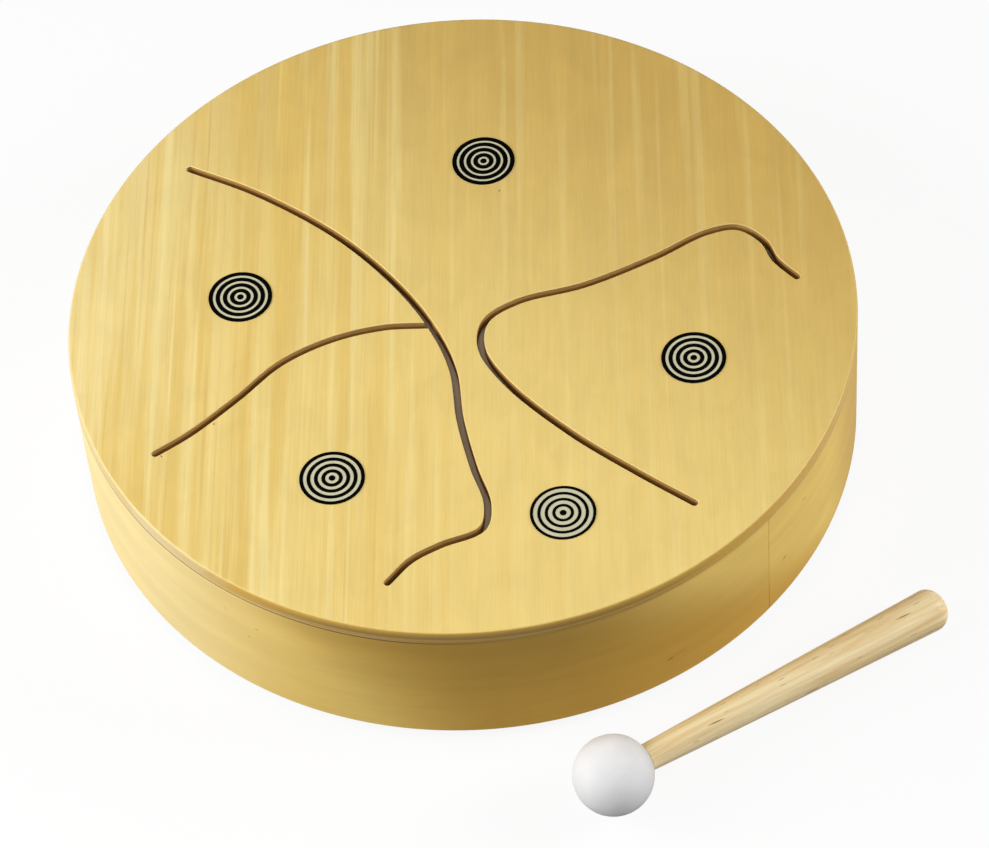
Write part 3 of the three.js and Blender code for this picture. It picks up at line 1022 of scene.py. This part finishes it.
def stretch(outline: Array, first: float, last: float, room: Sequence[float] = (0, 0)) -> Array:
    """Takes a stretch of a closed outline, forwards.

    Args:
        outline: The outline's points.
        first: Where the stretch starts, as an edge's number plus a share of it.
        last: Where it ends, round the outline's start if need be.
        room: How far the first and last point stay clear of others, for their mitred corners.

    Returns:
        The stretch's points.
    """
    count = len(outline)
    length = (last - first) % count
    whole = np.arange(math.floor(first) + 1, math.ceil(first + length))
    at = np.concatenate([[first], whole, [first + length]])
    number = np.floor(at).astype(int)
    share = (at - number)[:, None]
    points = outline[number % count] * (1 - share) + outline[(number + 1) % count] * share
    clear = [np.linalg.norm(points - points[end], axis=1) > gap for end, gap in zip((0, -1), room)]
    clear[0][[0, -1]] = clear[1][[0, -1]] = True
    return points[clear[0] & clear[1]]


def spot(outline: Array, place: float) -> Array:
    """The outline's point at an edge's number plus a share of it."""
    return stretch(outline, place, place)[0]


def leaving(outline: Array, start: Array, end: Array) -> float:
    """Where the straight line from one point to another first crosses an outline."""
    met = crossings(outline, start[None], end[None])
    return float(met[met[:, 1].argmin(), 0])


def inside(points: Array, starts: Array, ends: Array) -> Array:
    """The even-odd rule: a point is inside where a ray along +X crosses an odd number of edges."""
    x, y = points[:, :1], points[:, 1:]
    level = (starts[:, 1] > y) != (ends[:, 1] > y)
    rise = np.where(level, ends[:, 1] - starts[:, 1], 1)
    at = starts[:, 0] + (y - starts[:, 1]) * (ends[:, 0] - starts[:, 0]) / rise
    return (level & (x < at)).sum(1) % 2 == 1


@dataclass(frozen=True)
class Rim:
    """One closed edge of a sheet, run with the wood on its left. Edges of weight 0 stay sharp."""

    points: Array
    weights: Array
    profile: Array

    def rings(self) -> Array:
        """Carries the edge's profile along the rim.

        At each point the profile's inset moves by the vector v with v.n1 = w1 and v.n2 = w2, where
        n and w are the inward normal and weight of the edges before and after it.

        Returns:
            The points, as profile rows by rim points by three.
        """
        normal = unit(leftwards(np.roll(self.points, -1, axis=0) - self.points))
        before = np.roll(normal, 1, axis=0)
        w1, w2 = np.roll(self.weights, 1)[:, None], self.weights[:, None]
        scale = np.where(w1 == w2, 1, cross(before, normal)[:, None])
        solved = leftwards(w2 * before - w1 * normal) / scale
        mitre = (before + normal) / (1 + (before * normal).sum(1, keepdims=True)) * w1
        move = np.where(w1 == w2, mitre, solved)
        flat = self.points[None] + self.profile[:, :1, None] * move[None]
        height = np.broadcast_to(self.profile[:, 1:, None], (*flat.shape[:2], 1))
        return np.concatenate([flat, height], axis=-1)


def sawn_sheet(rims: Sequence[Rim], cell: float, clear: float = 0.6) -> Skin:
    """Skins a sheet between rims: its edges, and its two faces over a Delaunay net.

    Args:
        rims: The outer rim, counter-clockwise, and the rims of its holes, clockwise.
        cell: How far apart the net's inner points lie, in millimetres.
        clear: How far they stay from the rims, as a share of the cell.

    Returns:
        The sheet's skin, in metres.
    """
    rings = [rim.rings() for rim in rims]
    sides = [Skin.sheet(np.concatenate([ring, ring[:, :1]], axis=1)) for ring in rings]
    top, bottom = (np.concatenate([ring[row] for ring in rings]) for row in (-1, 0))
    following = np.concatenate([np.roll(ring[-1], -1, axis=0) for ring in rings])
    starts, ends = top[:, :2], following[:, :2]
    low, high = starts.min(0), starts.max(0)
    grid = np.stack(np.meshgrid(*(np.arange(a, b, cell) for a, b in zip(low, high))), -1).reshape(-1, 2)
    grid = grid[inside(grid, starts, ends)]
    near = np.linalg.norm(grid[:, None] - starts[None], axis=-1).min(1)
    grid = grid[near > clear * cell]
    corners = np.concatenate([starts, grid])
    counts = [ring.shape[1] for ring in rings]
    firsts = np.cumsum([0] + counts[:-1])
    edges = [
        (int(first + k), int(first + (k + 1) % count))
        for first, count in zip(firsts, counts)
        for k in range(count)
    ]
    net = delaunay_2d_cdt([Vector(p) for p in corners.tolist()], edges, [], 0, 1e-7, True)
    origin = np.array([origins[0] for origins in net[3]])
    faces = origin[np.array(net[2])]
    faces = faces[inside(corners[faces].mean(1), starts, ends)]
    a, b, c = (corners[faces[:, k]] for k in range(3))
    clockwise = cross(b - a, c - a) < 0
    faces[clockwise] = faces[clockwise][:, ::-1]
    caps = []
    for ring, upwards in ((top, True), (bottom, False)):
        inner = np.column_stack([grid, np.full(len(grid), ring[0, 2])])
        points = np.concatenate([ring, inner])
        turned = faces if upwards else faces[:, ::-1]
        corner_four = np.concatenate([turned, turned[:, 2:]], axis=1)
        caps.append(Skin(points, corner_four, np.zeros(len(faces), int), points))
    whole = joined(*sides, *caps)
    return replace(whole, points=whole.points * MM, grain=whole.points * MM)


@dataclass(frozen=True)
class SlitBoard:
    """The sounding board: one sheet that three slots divide into a board and three tongues.

    The slots are points of their middle lines, from the back to the front or from the fork outwards.
    The rooms are how far a rim's other points stay clear of a root's ends and of the fork. An eased
    edge's rows reach inwards by its radius times ease_reach.
    """

    radius: float = 190
    foot: float = 71
    top: float = 79
    edge_radius: float = 1.3
    foot_ease: float = 0.3
    slot_ease: float = 0.5
    slot_foot_ease: float = 1.2
    ease_reach: float = 1.8
    ease_steps: int = 7
    slot_width: float = 3.6
    slot_reach: float = 165.6
    rim_steps: int = 384
    net_cell: float = 6
    root_room: float = 0.95
    fork_room: float = 2.2
    bend_length: float = 14
    long_slot: Line = (
        (-128, 105), (-95, 85), (-57, 53), (-29, 17.5), (-14, -11), (-6.5, -36), (-5, -66),
        (-0.5, -95), (4.4, -117), (1, -131), (-19, -138.5), (-33, -145.5), (-44.5, -157),
    )
    branch_slot: Line = (
        (-16, -7.6), (-38, -6.5), (-63, -11), (-88, -22.5), (-110, -42), (-133, -60.5), (-149.5, -70.5),
    )
    hook_slot: Line = (
        (162, 2.5), (153, 14.5), (148.5, 26.5), (137, 36.5), (121.5, 35), (95.4, 22.5), (60, 9),
        (27, 2.2), (11, -8), (8, -24), (18, -46), (46, -79.5), (76, -107), (100, -127),
    )

    def on_board(self, points: Any) -> Array:
        """Points of the pattern where they lie on the board, stretched so that it ends at its reach."""
        slots = (self.long_slot, self.branch_slot, self.hook_slot)
        reach = max(math.hypot(*slot[end]) for slot in slots for end in (0, -1))
        return np.asarray(points, float) * self.slot_reach / reach

    def edge_profile(self, foot_radius: float, radius: float) -> Array:
        """An edge's rows of inset and height, from underneath to the top, rounded at both."""
        inset = [self.ease_reach * foot_radius, 0, 0, self.ease_reach * radius]
        corners = np.stack([inset, [self.foot, self.foot, self.top, self.top]], axis=-1)
        return eased(corners, [foot_radius, radius], self.ease_steps)

    def side(
        self, outline: Array, first: float, last: float, forks: tuple[bool, bool] = (False, False)
    ) -> tuple[Array, int]:
        """A stretch of a slot's outline, with eased edges, from a root or a fork to the next one."""
        room = [self.fork_room if fork else self.root_room for fork in forks]
        return stretch(outline, first, last, room), 1

    def rim(self, *parts: tuple[Array, int]) -> Rim:
        """A rim from stretches of points, each with the weight of its edges."""
        points = np.concatenate([line[:-1] for line, _ in parts])
        weights = np.concatenate([np.full(len(line) - 1, weight) for line, weight in parts])
        return Rim(points, weights, self.edge_profile(self.slot_foot_ease, self.slot_ease))

    def root(self, start: Array, end: Array) -> tuple[Array, int]:
        """The straight line along a tongue's root, in steps of the net's cell, with no eased edge."""
        count = math.ceil(np.linalg.norm(end - start) / self.net_cell) + 1
        return np.linspace(start, end, count), 0

    def forks(self, long: Array, side: int, branch: Array, branch_side: int) -> tuple[Array, Array]:
        """Finds where the branch slot's two sides meet the long slot's right side.

        Args:
            long: The long slot's outline.
            side: The number of edges along one side of it.
            branch: The branch slot's outline.
            branch_side: The number of edges along one side of that.

        Returns:
            The front and the back meeting, each as the two outlines' edges plus shares.
        """
        met = crossings(long, branch, np.roll(branch, -1, axis=0))
        on_right = met[(met[:, 0] > side + 1) & (met[:, 0] < len(long) - 2)]
        on_front = on_right[:, 1] < branch_side
        return on_right[on_front][0], on_right[~on_front][-1]

    def regions(self) -> dict[str, list[Rim]]:
        """Divides the sheet along the slots and along the straight roots between their ends.

        Returns:
            The rims of each part, by its node.
        """
        lines = (self.long_slot, self.branch_slot, self.hook_slot)
        slots = [Slot(self.on_board(line), self.slot_width) for line in lines]
        (long, side), (branch, branch_side), (hook, _) = (slot.outline() for slot in slots)
        (long_back, long_front), (_, branch_end), (hook_back, hook_front) = (
            slot.points[[0, -1]] for slot in slots
        )
        a1, a2 = leaving(long, long_back, branch_end), leaving(long, long_front, branch_end)
        b1, b2 = leaving(branch, branch_end, long_back), leaving(branch, branch_end, long_front)
        h1, h2 = leaving(hook, hook_back, hook_front), leaving(hook, hook_front, hook_back)
        front, back = self.forks(long, side, branch, branch_side)
        left_root = self.root(spot(long, a1), spot(branch, b1))
        front_root = self.root(spot(branch, b2), spot(long, a2))
        right_root = self.root(spot(hook, h2), spot(hook, h1))
        left_back, front_back, right_back = (
            (line[::-1], weight) for line, weight in (left_root, front_root, right_root)
        )
        circle = self.radius * on_circle(np.linspace(0, 2 * np.pi, self.rim_steps, endpoint=False))
        outside = Rim(circle, np.ones(len(circle)), self.edge_profile(self.foot_ease, self.edge_radius))
        to_fork, from_fork = (False, True), (True, False)
        left_hole = self.rim(
            self.side(long, a1, a2), front_back, self.side(branch, b2, b1), left_back
        )
        left_edge = self.rim(
            self.side(branch, b1, back[1], to_fork), self.side(long, back[0], a1, from_fork), left_root
        )
        front_edge = self.rim(
            self.side(long, a2, front[0], to_fork), self.side(branch, front[1], b2, from_fork), front_root
        )
        right_hole = self.rim(self.side(hook, h2, h1), right_back)
        right_edge = self.rim(self.side(hook, h1, h2), right_root)
        return {
            "sounding_board": [outside, left_hole, right_hole],
            "tongue_left": [left_edge],
            "tongue_front_left": [front_edge],
            "tongue_right": [right_edge],
        }

    def build(self) -> None:
        """Makes the board and the tongues. The board rides on its body; the tongues stay where they are
        made.
        """
        for node, rims in self.regions().items():
            piece = set_down(sawn_sheet(rims, self.net_cell), node, "ply", FACE)
            if node == "sounding_board":
                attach(piece, body_of(node))
                continue
            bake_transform(piece)


@dataclass(frozen=True)
class RingMark:
    """A printed film disc with a dot and four rings of one line width."""

    name: str
    at: tuple[float, float]
    line: float
    radius: float = 15.5
    dot: float = 1.6
    rings: int = 4
    film: float = 0.25
    ink: float = 0.15
    ease: float = 0.05
    segments: int = 96

    def profile(self) -> tuple[Array, Array]:
        """The disc's profile from its underside's middle round its edge to its top's middle.

        Returns:
            Rows of radius and height, and for each pair of rows 0 for film or 1 for ink.
        """
        pitch = (self.radius - self.dot) / self.rings
        outside = self.dot + pitch * np.arange(self.rings, 0, -1)
        low, high, ease = self.film, self.film + self.ink, self.ease
        rows = [[0, 0], [self.radius - ease, 0], [self.radius, ease], [self.radius, low]]
        finish = [0, 0, 0]
        for number, edge in enumerate(outside):
            if number:
                rows.append([edge, low])
                finish.append(0)
            rows += [
                [edge, high - ease],
                [edge - ease, high],
                [edge - self.line + ease, high],
                [edge - self.line, high - ease],
                [edge - self.line, low],
            ]
            finish += [1] * 5
        rows += [[self.dot, low], [self.dot, high - ease], [self.dot - ease, high], [0, high]]
        finish += [0, 1, 1, 1]
        return np.array(rows, float), np.array(finish)

    def build(self, board: SlitBoard) -> None:
        """Makes the mark on the board's top and sets it on its zone's body."""
        node = f"mark_{self.name}"
        profile, finish = self.profile()
        x, y = board.on_board(np.array(self.at))
        place = Matrix.Translation((x * MM, y * MM, board.top * MM))
        skin = Skin.turned(profile * MM, self.segments, finish).placed(place)
        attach(set_down(skin, node, "print", FILM, INK), body_of(node))


@dataclass(frozen=True)
class Feet:
    """Four rubber feet round the base, each with its screw."""

    count: int = 4
    circle: float = 176.4
    first_turn: float = 45
    height: float = 6
    top_radius: float = 9
    bottom_radius: float = 8
    edge_radius: float = 1
    web: float = 2.5
    well_radius: float = 3.9
    hole_radius: float = 1.9
    segments: int = 64

    def skin(self) -> Skin:
        """Turns one foot, hanging from the height 0: a cone with a counterbored hole."""
        well, hole, web, low = self.well_radius, self.hole_radius, -self.web, -self.height
        corners = [[well, web], [well, low], [self.bottom_radius, low]]
        corners += [[self.top_radius, 0], [hole, 0], [hole, web]]
        cuts = [0.1, 0.4, self.edge_radius, 0.2, 0.15, 0.15]
        profile = eased(np.array(corners), cuts, closed=True)
        return Skin.turned(np.concatenate([profile, profile[:1]]) * MM, self.segments)

    def build(self) -> None:
        """Makes the feet and dresses their screws."""
        for number in range(self.count):
            turn = math.radians(self.first_turn + number * 360 / self.count)
            spoke = Vector((math.cos(turn), math.sin(turn), 0)) * self.circle * MM
            node = f"foot_{number + 1}"
            foot = self.skin().placed(Matrix.Translation(spoke))
            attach(set_down(foot, node, "rubber", FOOT_RUBBER), body_of(node))
            dress(f"foot_screw_{number + 1}", SCREW_STEEL)


@dataclass(frozen=True)
class Mallet:
    """A rubber ball on a turned handle, lying on the floor. Its axis is X, from the ball's centre."""

    length: float = 205
    ball_radius: float = 19.25
    socket_depth: float = 20
    tenon_radius: float = 4.7
    clearance: float = 0.3
    neck_radius: float = 6.75
    butt_radius: float = 10.5
    crown: float = 8.2
    taper_power: float = 0.9
    seat_lip: float = 0.3
    distance: float = 235.85
    bearing: float = -77.45
    heading: float = 27.75
    floor: float = -6
    polish: float = 0.12
    ball_steps: int = 72
    taper_steps: int = 60
    crown_steps: int = 24
    neck_steps: int = 6
    segments: int = 96

    def seat(self) -> tuple[float, float]:
        """The radius of the ball's flat seat and its distance from the ball's centre."""
        radius = self.neck_radius + self.seat_lip
        return radius, math.sqrt(self.ball_radius**2 - radius**2)

    def place(self) -> Matrix:
        """Lays the mallet down: its ball and the widest ring of its butt touch the floor."""
        widest = self.length - self.ball_radius - self.crown
        reach = math.hypot(widest, self.butt_radius)
        tilt = math.asin(self.ball_radius / reach) - math.atan2(self.butt_radius, widest)
        bearing = math.radians(self.bearing)
        across, along = self.distance * math.cos(bearing), self.distance * math.sin(bearing)
        spot = Vector((across, along, self.ball_radius + self.floor)) * MM
        turn = Euler((0, tilt, math.radians(self.heading)), "XYZ").to_matrix().to_4x4()
        return Matrix.Translation(spot) @ turn @ Matrix.Rotation(math.pi / 2, 4, "Y")

    def ball(self) -> Skin:
        """Turns the ball: (R cos a, R sin a) from its pole to the seat, then the blind socket."""
        seat_radius, seat = self.seat()
        radius = self.ball_radius - self.polish
        angle = np.linspace(-np.pi / 2, math.acos(seat_radius / radius), self.ball_steps)
        round_part = radius * on_circle(angle)
        socket, depth = self.tenon_radius + self.clearance, seat - self.socket_depth
        inside_part = [[socket, round_part[-1, 1]], [socket, depth], [0, depth]]
        return Skin.turned(np.concatenate([round_part, inside_part]) * MM, self.segments)

    def handle(self) -> Skin:
        """Turns the handle: tenon, neck, a taper of radius neck + (butt - neck) s^power, and crown."""
        _, seat = self.seat()
        shoulder = seat + self.clearance
        widest = self.length - self.ball_radius - self.crown
        share = np.linspace(0, 1, self.taper_steps)
        grown = self.neck_radius + (self.butt_radius - self.neck_radius) * share**self.taper_power
        taper = np.stack([grown - self.polish, shoulder + (widest - shoulder) * share], axis=-1)
        angle = np.linspace(0, np.pi / 2, self.crown_steps)[1:]
        crown = on_circle(angle) * (self.butt_radius, self.crown)
        crown = crown * (1 - self.polish / self.butt_radius) + (0, widest)
        foot = shoulder - self.socket_depth
        tenon = [[0, foot], [self.tenon_radius, foot], [self.tenon_radius, shoulder]]
        corners = np.concatenate([tenon, taper[[0, self.neck_steps]]])
        neck = eased(corners, [0.5, 0.05, 0.5])
        rest = taper[self.neck_steps + 1 :]
        return Skin.turned(np.concatenate([neck, rest, crown]) * MM, self.segments)

    def build(self) -> None:
        """Makes the ball and the handle and lays them on the floor."""
        for node, skin, stuff, finish in (
            ("mallet_ball", self.ball(), "rubber", BALL_RUBBER),
            ("mallet_handle", self.handle(), "wood", HANDLE_WOOD),
        ):
            along = replace(skin, grain=skin.points[:, [2, 1, 0]])
            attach(set_down(along.placed(self.place()), node, stuff, finish), body_of(node))


# The studio


class Lamp(Enum):
    """The soft boxes round the drum, each with its bearing, rise, distance, width and level.

    The small front one hangs behind the camera, so that it lights what the slots show inside.
    """

    LEFT = (-172, 28, 1.25, 0.9, 1.03)
    RIGHT = (-2, 25, 1.8, 0.9, 0.65)
    FRONT = (-89.6, 51.4, 2.3, 0.05, 0.25)

    def build(self, aim: Vector) -> None:
        """Hangs the lamp and points it at the drum.

        A lamp of P watts at the distance d lights a white surface that faces it to P / (pi d)^2.

        Args:
            aim: The place that it points at.
        """
        bearing, rise, distance, width, level = self.value
        turn, lift = math.radians(bearing), math.radians(rise)
        across, along = math.cos(lift) * math.cos(turn), math.cos(lift) * math.sin(turn)
        away = Vector((across, along, math.sin(lift)))
        light = bpy.data.lights.new(f"soft_box_{self.name.lower()}", "AREA")
        light.size = width
        light.energy = level * (math.pi * distance) ** 2
        lamp = linked(light.name, light)
        lamp.location = aim + away * distance
        lamp.rotation_euler = away.to_track_quat("Z", "Y").to_euler()


@dataclass(frozen=True)
class Studio:
    """The pale floor, the sky, the lamps and the camera. The camera's sizes are in drum radii."""

    aim_height: float = 40
    floor_level: float = -6
    floor_reach: float = 6
    floor_grey: Colour = (146, 146, 144)
    sky_level: float = 0.07
    shadow_share: float = 0.12
    radius: float = 0.19
    rise: float = 52.222
    roll: float = -5.0763
    distance: float = 11.195
    focus: float = 4514.19
    frame_width: float = 989
    target: tuple[float, float, float] = (0.0576, -0.3742, 0.4167)

    def seen(self, recipe: Recipe) -> Socket:
        """1 for the rays that show the background: the camera's, reflections and what glass passes."""
        path = recipe.lay("LightPath", {}).outputs
        total = path["Is Camera Ray"]
        for kind in ("Glossy", "Transmission"):
            total = recipe.maths("MAXIMUM", total, path[f"Is {kind} Ray"])
        return total

    def floor(self) -> None:
        """Lays a flat floor that shows nearly white and keeps the drum's soft shadow."""
        around = np.array([(-1, -1), (1, -1), (1, 1), (-1, 1)]) * self.floor_reach
        corners = [(x, y, self.floor_level * MM) for x, y in around.tolist()]
        mesh = bpy.data.meshes.new("studio_floor")
        mesh.from_pydata(corners, [], [[0, 1, 2, 3]])
        mesh.materials.append(bpy.data.materials.new("studio_floor_paint"))
        recipe = Recipe(mesh.materials[0])
        dull = recipe.lay("BsdfDiffuse", {"Color": paint(self.floor_grey)}).outputs[0]
        white = recipe.lay("BsdfDiffuse", {"Color": (0.9, 0.9, 0.9, 1)}).outputs[0]
        bright = recipe.lay("Emission", {"Color": (1, 1, 1, 1), "Strength": 1.0}).outputs[0]
        shown = recipe.lay("MixShader", {0: self.shadow_share, 1: bright, 2: white}).outputs[0]
        both = recipe.lay("MixShader", {0: self.seen(recipe), 1: dull, 2: shown}).outputs[0]
        recipe.feed(recipe.output.inputs["Surface"], both)
        recipe.tree.nodes.remove(recipe.shader)
        linked("studio_floor", mesh)

    def sky(self) -> None:
        """Surrounds the scene with an even grey light that shows as white."""
        world = bpy.data.worlds.new("studio_sky")
        recipe = Recipe(world)
        inputs = {"Value": self.seen(recipe), "To Min": self.sky_level, "To Max": 1.0}
        recipe.surface(Color=(1, 1, 1, 1), Strength=recipe.lay("MapRange", inputs).outputs[0])
        bpy.context.scene.world = world

    def camera(self) -> None:
        """Sets up the camera: raised, a little rolled, and far enough for the photograph's view."""
        rise, roll = math.radians(self.rise), math.radians(self.roll)
        back = Vector((0, -math.cos(rise), math.sin(rise)))
        right, up = Vector((1, 0, 0)), Vector((0, math.sin(rise), math.cos(rise)))
        rolled_right = math.cos(roll) * right + math.sin(roll) * up
        rolled_up = -math.sin(roll) * right + math.cos(roll) * up
        place = Matrix((rolled_right, rolled_up, back)).transposed().to_4x4()
        place.translation = (Vector(self.target) + self.distance * back) * self.radius
        lens = bpy.data.cameras.new("photo_view")
        lens.lens = self.focus / self.frame_width * lens.sensor_width
        lens.clip_start, lens.clip_end = 0.05, 50
        camera = linked("photo_view", lens)
        camera.matrix_world = place
        bpy.context.scene.camera = camera

    def build(self) -> None:
        """Lays the floor, hangs the lamps and sets up the camera."""
        bpy.context.scene.view_settings.view_transform = "Standard"
        self.floor()
        self.sky()
        for lamp in Lamp:
            lamp.build(Vector((0, 0, self.aim_height * MM)))
        self.camera()


SOUNDING_POINTS = (
    RingMark("back", (17, 93), 2.32),
    RingMark("left", (-106, 20), 2.15),
    RingMark("right", (108, -42), 2.03),
    RingMark("front_left", (-67, -94.5), 1.84),
    RingMark("front", (39, -126.5), 1.5),
)


def main() -> None:
    """Builds the drum, its mallet and the studio."""
    logging.basicConfig(level=logging.INFO, format="%(message)s")
    board = SlitBoard()
    Shell().build()
    board.build()
    for mark in SOUNDING_POINTS:
        mark.build(board)
    Feet().build()
    Mallet().build()
    Studio().build()


if __name__ == "__main__":
    main()
